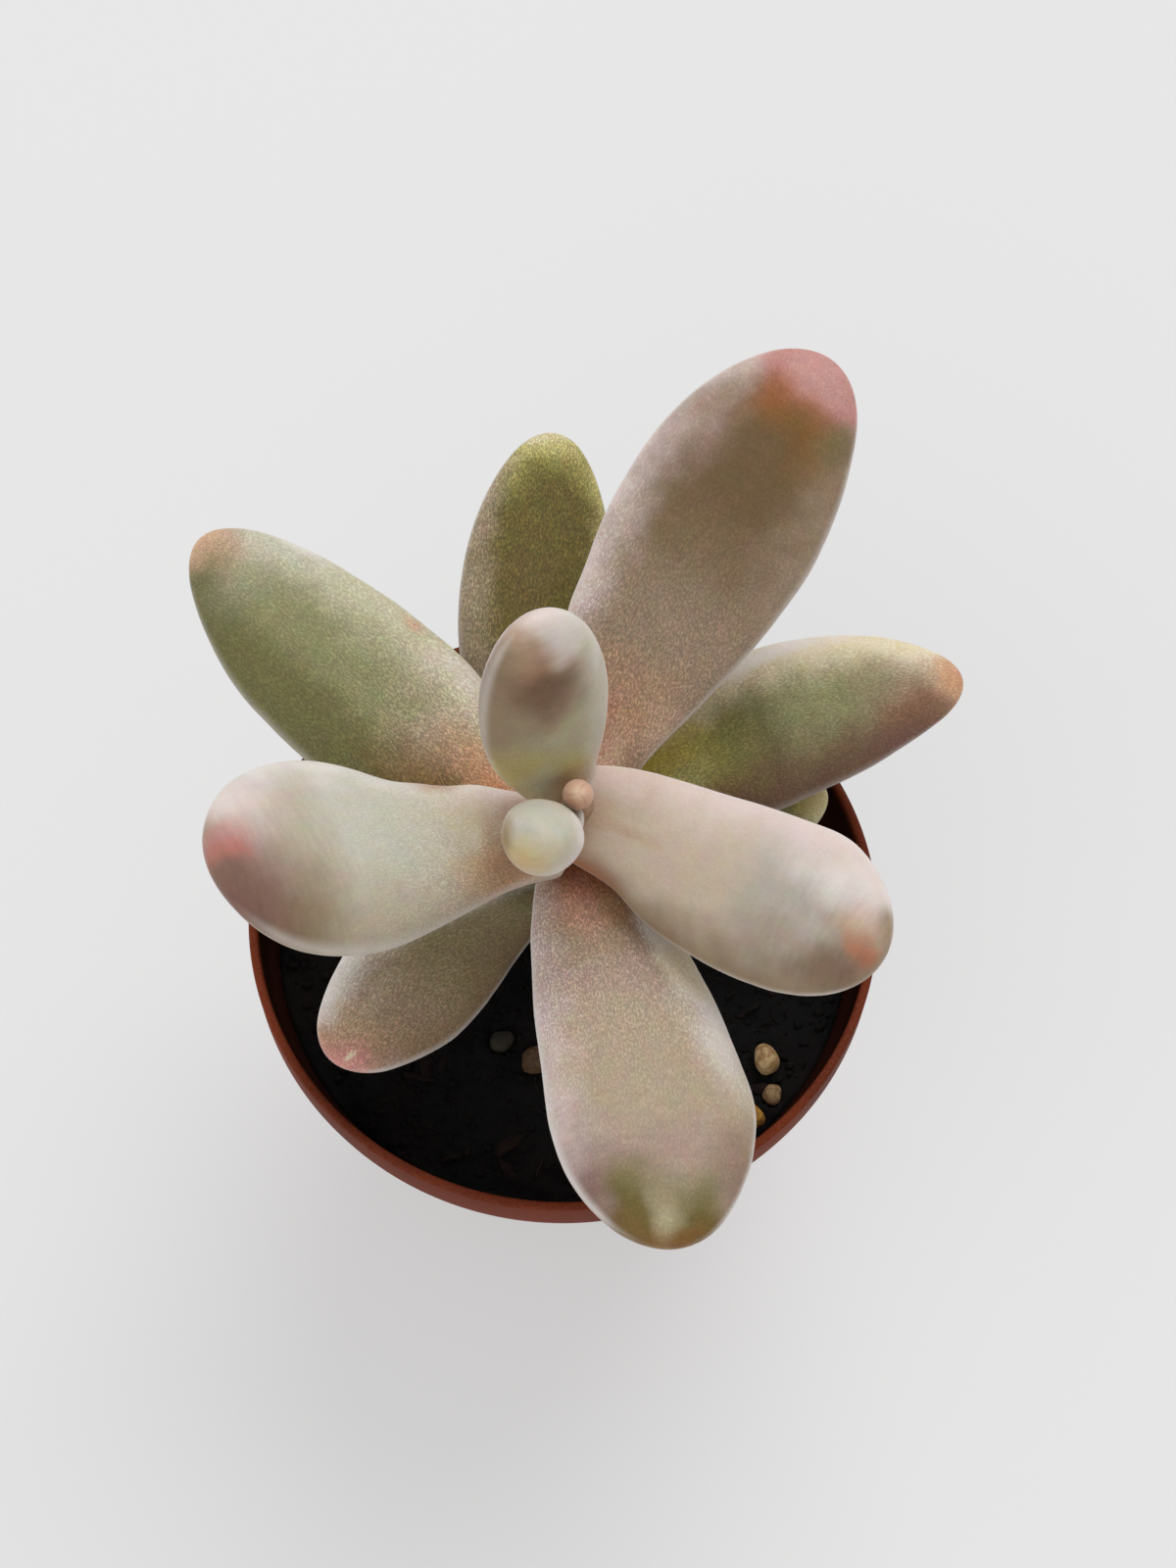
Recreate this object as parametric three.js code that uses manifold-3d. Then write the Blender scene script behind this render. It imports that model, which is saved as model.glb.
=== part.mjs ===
// Potted pachyphytum fittkaui: a young succulent with thick powdery leaves, in a small nursery pot.
// Millimetres, +Z up, origin at the middle of the pot's base, +X to the right of the front.

import * as THREE from 'three';
import { mergeVertices } from 'three/addons/utils/BufferGeometryUtils.js';
import Module from 'manifold-3d';

const wasm = await Module();
wasm.setup();

// Pot
const potHeight = 60;
const rimRadius = 42.5;
const baseRadius = 26.5;
const wallThickness = 1.2;
const collarHeight = 8;
const collarStep = 1.4;
const lipRound = 0.5;
const footInnerRadius = 21;
const centrePadRadius = 7;
const floorRaise = 1.0;
const drainHoleCount = 6;
const drainHoleRadius = 3.4;
const drainHoleCircle = 14;
const drainHoleSides = 20;
const footEdge = 0.8;
const collarBevel = 0.4;
const ledgeBevel = { inset: 0.3, drop: 0.7 };
const lipInset = 0.3;
const innerStep = { inset: 0.5, rise: 0.8 };
const floorFillet = 1;
const potSides = 54;

// Soil
const soilLevel = 50.5;
const soilGap = 0.3;
const soilRings = 13;
const soilEdge = 1.5;
const clodCount = 70;
const clodRadius = { least: 2, spread: 2.6 };
const clodHeight = { least: 0.5, spread: 1.3 };
const soilSwell = { height: 0.35, rhythmX: 0.31, rhythmY: 0.27, drop: 0.4 };
const flatBySoilEdge = 2;
const holeRise = 6;

// Stem
const stemBottom = 28;
const stemTop = 91.5;
const stemRadius = 3.4;
const stemTipRadius = 1.9;
const taperStart = 70;
const stemStartX = 0.4;
const stemLean = new THREE.Vector2(0.033, 0.012);
const stemSides = 14;
const stemRings = 26;
const stemTipRound = 0.8;
const nodeSwelling = 0.22;
const nodeRhythm = 1.9;
const leafGap = 0.42;
const seatSteps = 4;

// Leaves, youngest first. They follow one another round the stem by about 137 degrees, clockwise from
// above. Azimuth, rise, curl, sway and roll are degrees, and the other sizes are millimetres.
// Rise is the slope where the leaf starts, curl is what its tip rises more, sway is what its tip turns,
// peak is how far along it is widest, neck is its base as a share of that width, a higher blunt makes a
// rounder tip, and a higher swell keeps the stalk end slim for longer. Left and right, as seen from the
// stem, are bulges and hollows of its margins: how far along, how long and how much.
const leafBook = [
  {
    name: 'leaf_01', height: 89.5, azimuth: 241, rise: 57, curl: 8, sway: 0, roll: 0,
    length: 15.5, width: 9.7, thickness: 9.2, peak: 0.58, neck: 0.4, blunt: 2.2, swell: 1.2,
  },
  {
    name: 'leaf_02', height: 88, azimuth: 114, rise: 74, curl: 6, sway: -3, roll: 7,
    length: 30.3, width: 17, thickness: 10.2, peak: 0.45, neck: 0.3, blunt: 2.1, swell: 0.5,
    left: [[9, 9, 0.5]], right: [[8, 8, -0.5]],
  },
  {
    name: 'leaf_03', height: 85, azimuth: 336, rise: 15.5, curl: 1, sway: -19, roll: 23,
    length: 41.8, width: 20, thickness: 11.5, peak: 0.66, neck: 0.45, blunt: 2.1, swell: 0.5,
    left: [[2, 8, 1], [30, 5, 0.5]], right: [[2, 3, -0.5], [19, 8, 0.8]],
  },
  {
    name: 'leaf_04', height: 82, azimuth: 195, rise: 23.5, curl: 9.5, sway: 11.5, roll: 9,
    length: 47, width: 27.5, thickness: 11.7, peak: 0.67, neck: 0.42, blunt: 1.8, swell: 1.8,
    left: [[42, 5, 0.5]], right: [[7, 5, 1.9], [19.5, 4, -1.5], [30, 5, 0.8], [40, 6, 0.5]],
  },
  {
    name: 'leaf_05', height: 78.5, azimuth: 71.5, rise: 23, curl: 6, sway: -29, roll: -1,
    length: 68.7, width: 26.5, thickness: 12, peak: 0.6, neck: 0.26, blunt: 2.15, swell: 1.45,
    left: [[22, 4, 0.8], [54, 10, 0.5]], right: [[10, 8, -0.4], [45, 6, 0.3], [61, 4, -0.2]],
  },
  {
    name: 'leaf_06', height: 75.5, azimuth: 287.6, rise: 13, curl: 8, sway: -15, roll: -11,
    length: 56.8, width: 24.5, thickness: 11.8, peak: 0.64, neck: 0.39, blunt: 1.95, swell: 0.7,
    left: [[18, 6, -0.2], [38, 5, 0.4]], right: [[7, 8, 0.6], [46, 7, 0.3]],
  },
  {
    name: 'leaf_07', height: 72, azimuth: 142, rise: 12.5, curl: 8, sway: -1.5, roll: 0,
    length: 61.6, width: 25, thickness: 12, peak: 0.44, neck: 0.3, blunt: 1.95, swell: 1.4,
    left: [[46, 8, 0.7]],
  },
  {
    name: 'leaf_08', height: 69, azimuth: 47, rise: 9, curl: 3, sway: -50, roll: 2,
    length: 59.6, width: 22, thickness: 12, peak: 0.51, neck: 0.3, blunt: 1.5, swell: 1.5,
    right: [[46, 9, 0.6]],
  },
  {
    name: 'leaf_09', height: 66, azimuth: 211, rise: 5, curl: 5, sway: 23, roll: -3,
    length: 37.4, width: 18.2, thickness: 11, peak: 0.6, neck: 0.32, blunt: 1.6, swell: 1.5,
    left: [[18, 7, -0.3], [35, 3, 0.3]], right: [[24, 3, 0.3]],
  },
  {
    name: 'leaf_10', height: 63, azimuth: 101, rise: 16.5, curl: 8, sway: -20, roll: 0,
    length: 60.4, width: 22, thickness: 11.5, peak: 0.53, neck: 0.3, blunt: 1.95, swell: 1.5,
    left: [[42, 14, 0.55]], right: [[50, 6, -0.4]],
  },
  {
    name: 'leaf_11', height: 58.5, azimuth: 23, rise: 7, curl: 4, sway: 0, roll: 0,
    length: 35, width: 13, thickness: 8, peak: 0.6, neck: 0.35, blunt: 1.8, swell: 1.5,
  },
];
const upperBelly = 0.85;
const lowerBelly = 1.15;
const baseRounding = 3;
const deepNeckShare = 1.5;
const deepPeakShift = 0.05;
const bigLeaf = { sides: 20, rings: 18 };
const smallLeaf = { sides: 14, rings: 12 };
const smallLeafLength = 36;

// Growing tip
const budRadius = 1.9;
const budLength = 5.4;
const budTilt = 24;
const budForward = 0.9;
const budGap = 0.3;
const budSides = { round: 14, rings: 10 };

// Grit stones, each lying in a pocket of the soil: place, half sizes and turn in degrees
const gritBook = [
  { name: 'grit_stone_1', x: 27.3, y: -19.3, size: [1.7, 2.2, 1.6], turn: 20 },
  { name: 'grit_stone_2', x: 28.0, y: -23.9, size: [1.5, 1.3, 1.2], turn: 70 },
  { name: 'grit_stone_3', x: 24.9, y: -27.4, size: [2.0, 1.6, 1.4], turn: 130 },
  { name: 'grit_stone_4', x: -3.6, y: -19.2, size: [1.9, 2.2, 1.6], turn: 110 },
  { name: 'grit_stone_5', x: -8.4, y: -16.4, size: [1.7, 1.4, 1.2], turn: 40 },
  { name: 'grit_stone_6', x: -24.0, y: 14.0, size: [2.2, 1.7, 1.5], turn: 150 },
  { name: 'grit_stone_7', x: 12.0, y: 26.0, size: [1.8, 2.0, 1.5], turn: 60 },
  { name: 'grit_stone_8', x: 26.0, y: 6.0, size: [1.5, 1.9, 1.3], turn: 10 },
];
const gritLift = 0.45;
const pocketGap = 0.3;
const pebbleDent = { depth: 0.1, rhythmX: 3.1, rhythmY: 2.7 };

// Finishes, as three.js colours
const finishes = {
  pot: { color: 0x9c5a3c, roughness: 0.5, metalness: 0 },
  soil: { color: 0x2a211c, roughness: 0.95, metalness: 0 },
  grit: { color: 0xb9a483, roughness: 0.8, metalness: 0 },
  stem: { color: 0x8f8a66, roughness: 0.7, metalness: 0 },
  greenLeaf: { color: 0x93a084, roughness: 0.65, metalness: 0 },
  blushLeaf: { color: 0xb49a8e, roughness: 0.65, metalness: 0 },
  paleLeaf: { color: 0xc4c6b8, roughness: 0.65, metalness: 0 },
};
const leafFinish = {
  leaf_01: 'paleLeaf', leaf_02: 'paleLeaf', leaf_03: 'paleLeaf', leaf_04: 'paleLeaf',
  leaf_05: 'blushLeaf', leaf_06: 'blushLeaf',
};

// A repeatable draw, so that the clods fall the same way each time
function makeDraw(seed) {
  let state = seed;
  return () => {
    state = (state * 16807) % 2147483647;
    return state / 2147483647;
  };
}

// Keeps only the places, joins the ones that meet and drops triangles with no area
function closeUp(geometry) {
  geometry.deleteAttribute('normal');
  geometry.deleteAttribute('uv');
  const merged = mergeVertices(geometry, 1e-4);
  const index = merged.index.array;
  const kept = [];
  for (let i = 0; i < index.length; i += 3) {
    const [a, b, c] = [index[i], index[i + 1], index[i + 2]];
    if (a !== b && b !== c && c !== a) kept.push(a, b, c);
  }
  merged.setIndex(kept);
  return merged;
}

function toSolid(geometry) {
  return new wasm.Manifold(new wasm.Mesh({
    numProp: 3,
    vertProperties: new Float32Array(geometry.attributes.position.array),
    triVerts: new Uint32Array(geometry.index.array),
  }));
}

function toGeometry(solid) {
  const mesh = solid.getMesh();
  const geometry = new THREE.BufferGeometry();
  geometry.setAttribute('position', new THREE.BufferAttribute(new Float32Array(mesh.vertProperties), 3));
  geometry.setIndex(Array.from(mesh.triVerts));
  return geometry;
}

// A body turned about the vertical axis from [radius, height] pairs that start and end on the axis
function turned(pairs, sides) {
  const points = pairs.map(([radius, height]) => new THREE.Vector2(radius, height));
  return closeUp(new THREE.LatheGeometry(points, sides).rotateX(Math.PI / 2));
}

// Moves every point of a geometry by a rule that changes the vector it is given
function reshape(geometry, rule) {
  const places = geometry.attributes.position;
  const point = new THREE.Vector3();
  for (let i = 0; i < places.count; i += 1) {
    point.fromBufferAttribute(places, i);
    rule(point);
    places.setXYZ(i, point.x, point.y, point.z);
  }
  return geometry;
}

const { lerp, smoothstep, degToRad: radians } = THREE.MathUtils;

// Pot: foot ring and centre pad, raised floor with drainage holes, tapered wall, stepped collar
const ledgeHeight = potHeight - collarHeight;
const wallTopRadius = rimRadius - collarStep;
const outerWall = (height) => lerp(baseRadius, wallTopRadius, height / ledgeHeight);
const innerWall = (height) => outerWall(height) - wallThickness;
const floorTop = floorRaise + wallThickness;
const innerLedge = ledgeHeight - innerStep.rise;
const collarInside = rimRadius - wallThickness;

function makePot() {
  const profile = [
    [0, 0],
    [centrePadRadius, 0],
    [centrePadRadius + floorRaise, floorRaise],
    [footInnerRadius - floorRaise, floorRaise],
    [footInnerRadius, 0],
    [baseRadius - footEdge, 0],
    [outerWall(footEdge), footEdge],
    [wallTopRadius - ledgeBevel.inset, ledgeHeight - ledgeBevel.drop],
    [wallTopRadius, ledgeHeight],
    [rimRadius - collarBevel, ledgeHeight + collarBevel],
    [rimRadius, potHeight - lipRound],
    [rimRadius - lipRound, potHeight],
    [collarInside + lipInset, potHeight],
    [collarInside, potHeight - lipRound],
    [collarInside - innerStep.inset, ledgeHeight + innerStep.rise],
    [innerWall(innerLedge), innerLedge],
    [innerWall(floorTop + floorFillet), floorTop + floorFillet],
    [innerWall(floorTop) - floorFillet, floorTop],
    [0, floorTop],
  ];
  let solid = toSolid(turned(profile, potSides));
  for (let i = 0; i < drainHoleCount; i += 1) {
    const angle = (i / drainHoleCount) * 2 * Math.PI;
    const drill = new THREE.CylinderGeometry(drainHoleRadius, drainHoleRadius, 4 * floorTop, drainHoleSides);
    drill.rotateX(Math.PI / 2);
    drill.translate(drainHoleCircle * Math.cos(angle), drainHoleCircle * Math.sin(angle), 0);
    solid = solid.subtract(toSolid(closeUp(drill)));
  }
  return toGeometry(solid);
}

// Stem: leans a little, tapers to the growing tip and swells where each leaf starts
function stemMiddle(height) {
  const above = height - soilLevel;
  return new THREE.Vector3(stemStartX + stemLean.x * above, stemLean.y * above, height);
}

function stemGirth(height) {
  const taper = Math.max(0, (height - taperStart) / (stemTop - taperStart));
  return lerp(stemRadius, stemTipRadius, taper);
}

function stemSurface(height) {
  return stemGirth(height) + nodeSwelling * Math.sin(height * nodeRhythm);
}

function stemBody(bottom, top, radiusAt) {
  const profile = [[0, bottom]];
  for (let i = 0; i <= stemRings; i += 1) {
    const height = lerp(bottom, top - stemTipRound, i / stemRings);
    profile.push([radiusAt(height), height]);
  }
  profile.push([radiusAt(top) - stemTipRound, top]);
  profile.push([0, top]);
  return reshape(turned(profile, stemSides), (point) => {
    const middle = stemMiddle(point.z);
    point.x += middle.x;
    point.y += middle.y;
  });
}

// Leaf: a ball drawn out along a bent middle line, flatter above than below
function direction(azimuth, rise) {
  const level = Math.cos(radians(rise));
  return new THREE.Vector3(
    Math.cos(radians(azimuth)) * level,
    Math.sin(radians(azimuth)) * level,
    Math.sin(radians(rise)),
  );
}

function leafSpread(along, peak, neck, leaf) {
  if (along < peak) {
    return neck + (1 - neck) * Math.sin((along / peak) * Math.PI / 2) ** leaf.swell;
  }
  const beyond = Math.min(1, (along - peak) / (1 - peak));
  return Math.sqrt(Math.max(0, 1 - beyond ** leaf.blunt));
}

// How far a margin's bulges and hollows move it out, so many millimetres along the leaf
function marginShift(edges, reach) {
  return (edges ?? []).reduce((sum, [at, long, by]) => sum + by * Math.exp(-(((reach - at) / long) ** 2)), 0);
}

// The smallest distance from a geometry's points to the side of the stem
function stemClearance(geometry) {
  let least = Infinity;
  const point = new THREE.Vector3();
  for (let i = 0; i < geometry.attributes.position.count; i += 1) {
    point.fromBufferAttribute(geometry.attributes.position, i);
    const middle = stemMiddle(point.z);
    const reach = Math.hypot(point.x - middle.x, point.y - middle.y);
    if (point.z < stemTop + leafGap) least = Math.min(least, reach - stemSurface(point.z));
  }
  return least;
}

// Slides a leaf level until its base is just clear of the stem
function seatOnStem(body, outward) {
  for (let i = 0; i < seatSteps; i += 1) {
    const slide = leafGap - stemClearance(body);
    body.translate(outward.x * slide, outward.y * slide, 0);
  }
  return body;
}

function makeLeaf(leaf) {
  const { sides, rings } = leaf.length < smallLeafLength ? smallLeaf : bigLeaf;
  const outward = direction(leaf.azimuth, 0);
  const start = stemMiddle(leaf.height);
  start.addScaledVector(outward, stemGirth(leaf.height));
  const first = direction(leaf.azimuth, leaf.rise).multiplyScalar(leaf.length / 2);
  const second = direction(leaf.azimuth + leaf.sway, leaf.rise + leaf.curl).multiplyScalar(leaf.length / 2);
  const middle = start.clone().add(first);
  const line = new THREE.QuadraticBezierCurve3(start, middle, middle.clone().add(second));
  const level = new THREE.Vector3(-outward.y, outward.x, 0);
  const body = reshape(closeUp(new THREE.SphereGeometry(1, sides, rings)), (point) => {
    const along = (1 + point.y) / 2;
    const around = Math.atan2(-point.z, point.x);
    const tangent = line.getTangent(along);
    const side = level.clone().addScaledVector(tangent, -level.dot(tangent)).normalize();
    const above = tangent.clone().cross(side);
    side.applyAxisAngle(tangent, radians(leaf.roll));
    above.applyAxisAngle(tangent, radians(leaf.roll));
    const cap = point.y > 0 ? 1 : Math.min(1, Math.sqrt(1 - point.y * point.y) * baseRounding);
    const halfWidth = leaf.width / 2 * leafSpread(along, leaf.peak, leaf.neck, leaf) * cap;
    const deepNeck = Math.min(1, leaf.neck * deepNeckShare);
    const deepPeak = leaf.peak - deepPeakShift;
    const halfDepth = leaf.thickness / 2 * leafSpread(along, deepPeak, deepNeck, leaf) * cap;
    const belly = Math.sin(around) > 0 ? upperBelly : lowerBelly;
    const across = Math.cos(around);
    const shift = marginShift(across > 0 ? leaf.left : leaf.right, along * leaf.length) * Math.abs(across);
    point.copy(line.getPoint(along));
    point.addScaledVector(side, across * (halfWidth + shift * cap));
    point.addScaledVector(above, Math.sin(around) * halfDepth * belly);
  });
  return seatOnStem(body, outward);
}

function makeBud() {
  const bud = new THREE.SphereGeometry(1, budSides.round, budSides.rings).rotateX(Math.PI / 2);
  bud.scale(budRadius, budRadius, budLength / 2);
  bud.rotateX(radians(budTilt));
  const seat = stemMiddle(stemTop);
  bud.translate(seat.x, seat.y - budForward, seat.z + budLength / 2 + budGap);
  return closeUp(bud);
}

// Soil: fills the pot, with an uneven top of clods round the stem
const drawClod = makeDraw(417);
const clods = Array.from({ length: clodCount }, () => {
  const reach = Math.sqrt(drawClod()) * (innerWall(soilLevel) - 2);
  const angle = drawClod() * 2 * Math.PI;
  return {
    x: reach * Math.cos(angle),
    y: reach * Math.sin(angle),
    radius: clodRadius.least + clodRadius.spread * drawClod(),
    height: clodHeight.least + clodHeight.spread * drawClod(),
  };
});

function soilTop(x, y) {
  const wave = Math.sin(x * soilSwell.rhythmX + 1) * Math.cos(y * soilSwell.rhythmY);
  let lift = soilSwell.height * wave - soilSwell.drop;
  for (const clod of clods) {
    const near = Math.hypot(x - clod.x, y - clod.y) / clod.radius;
    lift = Math.max(lift, clod.height * (1 - near * near));
  }
  return soilLevel + lift;
}

function makeSoil() {
  const bottom = floorTop + soilGap;
  const edge = innerWall(soilLevel) - soilGap;
  const profile = [
    [0, bottom],
    [innerWall(bottom) - soilEdge, bottom],
    [innerWall(bottom + soilEdge) - soilGap, bottom + soilEdge],
  ];
  for (let i = 0; i <= soilRings; i += 1) {
    profile.push([edge * (1 - i / soilRings), soilLevel]);
  }
  return reshape(turned(profile, potSides), (point) => {
    const fromWall = edge - Math.hypot(point.x, point.y);
    if (point.z > soilLevel - 0.01) {
      point.z = lerp(soilLevel, soilTop(point.x, point.y), smoothstep(fromWall, 0, flatBySoilEdge));
    }
  });
}

// Grit stone: a rounded pebble with a few soft corners
function gritBody(stone, extra) {
  const [wide, deep, tall] = stone.size;
  const pebble = closeUp(new THREE.IcosahedronGeometry(1, 2));
  reshape(pebble, (point) => {
    const wave = Math.sin(pebbleDent.rhythmX * point.x + stone.turn);
    const cross = Math.cos(pebbleDent.rhythmY * point.y - stone.turn);
    point.multiplyScalar(1 + pebbleDent.depth * wave * cross);
    point.set(point.x * (wide + extra), point.y * (deep + extra), point.z * (tall + extra));
  });
  pebble.rotateZ(radians(stone.turn));
  pebble.translate(stone.x, stone.y, soilTop(stone.x, stone.y) + tall * gritLift);
  return pebble;
}

function cutSoil() {
  let solid = toSolid(makeSoil());
  const holeRadius = (height) => stemGirth(height) + nodeSwelling + soilGap;
  solid = solid.subtract(toSolid(stemBody(stemBottom - soilGap, soilLevel + holeRise, holeRadius)));
  for (const stone of gritBook) {
    solid = solid.subtract(toSolid(gritBody(stone, pocketGap)));
  }
  return toGeometry(solid);
}

// The whole plant in its pot
const plant = new THREE.Group();

function addPiece(name, geometry, finish) {
  geometry.computeVertexNormals();
  const mesh = new THREE.Mesh(geometry, new THREE.MeshStandardMaterial(finishes[finish]));
  mesh.name = name;
  plant.add(mesh);
}

addPiece('pot', makePot(), 'pot');
addPiece('soil', cutSoil(), 'soil');
for (const stone of gritBook) {
  addPiece(stone.name, gritBody(stone, 0), 'grit');
}
addPiece('stem', stemBody(stemBottom, stemTop, stemSurface), 'stem');
addPiece('growing_tip', makeBud(), 'blushLeaf');
for (const leaf of leafBook) {
  addPiece(leaf.name, makeLeaf(leaf), leafFinish[leaf.name] ?? 'greenLeaf');
}

export default plant;
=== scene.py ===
import math
import random

import bmesh
import bpy
import numpy as np
from mathutils import Matrix, Vector, noise
from mathutils.bvhtree import BVHTree


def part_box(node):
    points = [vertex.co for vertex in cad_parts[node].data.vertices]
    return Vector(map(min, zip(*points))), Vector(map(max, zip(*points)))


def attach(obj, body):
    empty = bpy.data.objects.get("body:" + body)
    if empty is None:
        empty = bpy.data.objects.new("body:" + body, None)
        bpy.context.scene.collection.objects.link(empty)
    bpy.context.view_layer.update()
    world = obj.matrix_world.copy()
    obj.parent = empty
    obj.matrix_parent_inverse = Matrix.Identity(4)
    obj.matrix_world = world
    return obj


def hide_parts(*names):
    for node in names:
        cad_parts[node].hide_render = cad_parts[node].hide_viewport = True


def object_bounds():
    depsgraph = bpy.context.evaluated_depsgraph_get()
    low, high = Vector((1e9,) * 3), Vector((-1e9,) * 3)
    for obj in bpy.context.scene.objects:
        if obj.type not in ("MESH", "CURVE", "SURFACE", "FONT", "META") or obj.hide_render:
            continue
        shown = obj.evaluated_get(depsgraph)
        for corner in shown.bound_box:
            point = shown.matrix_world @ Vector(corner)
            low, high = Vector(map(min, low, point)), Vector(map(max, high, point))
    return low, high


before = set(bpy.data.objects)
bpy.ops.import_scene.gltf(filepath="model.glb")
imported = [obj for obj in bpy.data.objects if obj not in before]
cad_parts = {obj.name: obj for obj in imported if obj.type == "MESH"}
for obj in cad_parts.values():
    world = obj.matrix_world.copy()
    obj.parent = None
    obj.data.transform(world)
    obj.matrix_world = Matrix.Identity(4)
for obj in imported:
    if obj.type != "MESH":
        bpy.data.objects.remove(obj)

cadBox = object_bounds()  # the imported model's box, in metres
mm = 0.001
scene = bpy.context.scene


# Small helpers
def tone(red, green, blue):  # a paint-chart colour, 0 to 255, as Blender's linear colour
    parts = [c / 255 for c in (red, green, blue)]
    return tuple(c / 12.92 if c <= 0.04045 else ((c + 0.055) / 1.055) ** 2.4 for c in parts) + (1.0,)


def polar(radius, angle):  # across and deep, for a radius and an angle in radians
    return radius * math.cos(angle), radius * math.sin(angle)


def linked(name, data):  # a new object in the scene
    made = bpy.data.objects.new(name, data)
    scene.collection.objects.link(made)
    return made


def meshPiece(name, points, faces, smooth=True):
    mesh = bpy.data.meshes.new(name)
    mesh.from_pydata([tuple(point) for point in points], [], faces)
    mesh.validate()
    mesh.update()
    if smooth:
        mesh.shade_smooth()
    return linked(name, mesh)


def dress(piece, finish, slot, *nodes):  # gives a piece its finish and its place in the frame
    piece.data.materials.clear()
    piece.data.materials.append(finish)
    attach(piece, "root")
    if nodes:
        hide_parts(*nodes)


def storeVectors(piece, name, vectors):
    layer = piece.data.attributes.new(name, "FLOAT_VECTOR", "POINT")
    layer.data.foreach_set("vector", np.asarray(vectors, np.float32).ravel())


def tubeFaces(rings, sides, start=0):  # the faces between rings of points that follow one another
    faces = []
    for i in range(rings - 1):
        for k in range(sides):
            a, b = start + i * sides + k, start + i * sides + (k + 1) % sides
            faces.append((a, b, b + sides, a + sides))
    return faces


def weld(piece):  # joins points that touch and turns the faces outward
    shape = bmesh.new()
    shape.from_mesh(piece.data)
    bmesh.ops.remove_doubles(shape, verts=shape.verts, dist=1e-7)
    bmesh.ops.recalc_face_normals(shape, faces=shape.faces)
    shape.to_mesh(piece.data)
    shape.free()


class Wire:  # one output of a node, which Python sums can be done with
    def __init__(self, finish, socket):
        self.finish = finish
        self.socket = socket

    def calc(self, operation, *values):
        return self.finish.node("ShaderNodeMath", {"operation": operation}, dict(enumerate(values)))

    def __add__(self, other):
        return self.calc("ADD", self, other)

    def __sub__(self, other):
        return self.calc("SUBTRACT", self, other)

    def __rsub__(self, other):
        return self.calc("SUBTRACT", other, self)

    def __mul__(self, other):
        return self.calc("MULTIPLY", self, other)

    def __truediv__(self, other):
        return self.calc("DIVIDE", self, other)

    def __rtruediv__(self, other):
        return self.calc("DIVIDE", other, self)

    def __pow__(self, other):
        return self.calc("POWER", self, other)

    def __rpow__(self, other):
        return self.calc("POWER", other, self)

    __radd__ = __add__
    __rmul__ = __mul__

    def size(self):  # without its sign
        return self.calc("ABSOLUTE", self)

    def most(self, other):
        return self.calc("MAXIMUM", self, other)

    def rise(self, low, high):  # 0 below low, 1 above high, smooth between
        sockets = {"Value": self, "From Min": low, "From Max": high}
        return self.finish.node("ShaderNodeMapRange", {"interpolation_type": "SMOOTHSTEP"}, sockets)

    def fall(self, low, high):
        return 1 - self.rise(low, high)


class Finish:  # a material and the nodes in it
    def __init__(self, name):
        self.material = bpy.data.materials.new(name)
        self.material.use_nodes = True
        self.tree = self.material.node_tree
        self.tree.nodes.clear()

    def node(self, kind, settings=None, sockets=None, out=0):
        made = self.tree.nodes.new(kind)
        for key, value in (settings or {}).items():
            if key == "stops":
                self.setStops(made.color_ramp, value)
            else:
                setattr(made, key, value)
        for key, value in (sockets or {}).items():
            if isinstance(value, Wire):
                self.tree.links.new(value.socket, made.inputs[key])
            else:
                made.inputs[key].default_value = value
        if made.outputs:
            return Wire(self, made.outputs[out])

    def setStops(self, ramp, stops):  # stops: where, colour
        ramp.elements[0].position, ramp.elements[0].color = stops[0]
        ramp.elements[1].position, ramp.elements[1].color = stops[-1]
        for spot, colour in stops[1:-1]:
            ramp.elements.new(spot).color = colour

    def where(self):  # place on the piece, in metres
        return self.node("ShaderNodeTexCoord", out="Object")

    def stored(self, name):  # a vector that the mesh carries
        return self.node("ShaderNodeAttribute", {"attribute_name": name}, out="Vector")

    def split(self, vector):
        node = self.node("ShaderNodeSeparateXYZ", None, {0: vector}).socket.node
        return [Wire(self, socket) for socket in node.outputs]

    def stretch(self, vector, by):
        return self.node("ShaderNodeVectorMath", {"operation": "MULTIPLY"}, {0: vector, 1: by})

    def shift(self, vector, other):
        return self.node("ShaderNodeVectorMath", {"operation": "ADD"}, {0: vector, 1: other})

    def cloud(self, vector, scale, detail, roughness, warp=0, out=0):
        sockets = dict(Vector=vector, Scale=scale, Detail=detail, Roughness=roughness, Distortion=warp)
        return self.node("ShaderNodeTexNoise", None, sockets, out)

    def cells(self, vector, scale):
        return self.node("ShaderNodeTexVoronoi", None, {"Vector": vector, "Scale": scale})

    def ramp(self, value, stops):
        return self.node("ShaderNodeValToRGB", {"stops": stops}, {0: value})

    def spot(self, place, centre, size):  # 1 in the middle of a soft spot, 0 outside it
        away = self.shift(place, tuple(-c for c in (*centre, 0)[:3]))
        away = self.stretch(away, tuple(1 / c if c else 0 for c in (*size, 0)[:3]))
        return self.node("ShaderNodeVectorMath", {"operation": "LENGTH"}, {0: away}, 1).fall(0.1, 1.0)

    def blend(self, share, first, second, how="MIX"):
        settings = {"data_type": "RGBA", "blend_type": how}
        return self.node("ShaderNodeMix", settings, {0: share, 6: first, 7: second}, 2)

    def bump(self, height, distance, strength=1, under=None):
        sockets = {"Height": height, "Distance": distance, "Strength": strength}
        if under:
            sockets["Normal"] = under
        return self.node("ShaderNodeBump", None, sockets)

    def close(self, colour, roughness, normal=None, **fixed):
        sockets = {"Base Color": colour, "Roughness": roughness, **fixed}
        if normal:
            sockets["Normal"] = normal
        skin = self.node("ShaderNodeBsdfPrincipled", None, sockets)
        self.node("ShaderNodeOutputMaterial", None, {"Surface": skin})
        return self.material


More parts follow.
